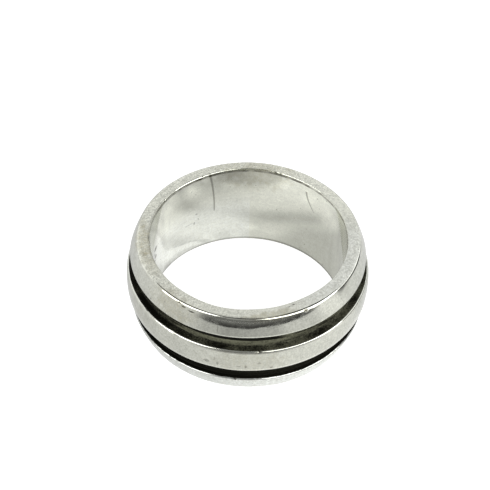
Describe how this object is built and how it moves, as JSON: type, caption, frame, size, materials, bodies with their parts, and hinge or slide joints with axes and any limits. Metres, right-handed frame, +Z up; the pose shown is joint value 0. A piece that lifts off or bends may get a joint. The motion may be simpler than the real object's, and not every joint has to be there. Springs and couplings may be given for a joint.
{
  "type": "band ring",
  "caption": "Domed silver finger ring with dark channels round the outside between raised bands, and a plain round finger hole.",
  "frame": {"origin": "centre of the lower end face, the one that the ring rests on, on the axis of the finger hole", "axes": "+Z up along the axis of the finger hole, -Y towards the viewer in the picture"},
  "size_m": [0.0224, 0.0224, 0.0092],
  "materials": {
    "worn_silver": "satin, tumbled, with fine scratches; the channels are oxidised nearly black"
  },
  "bodies": {
    "root": {"silver_band": "worn_silver"}
  },
  "joints": []
}
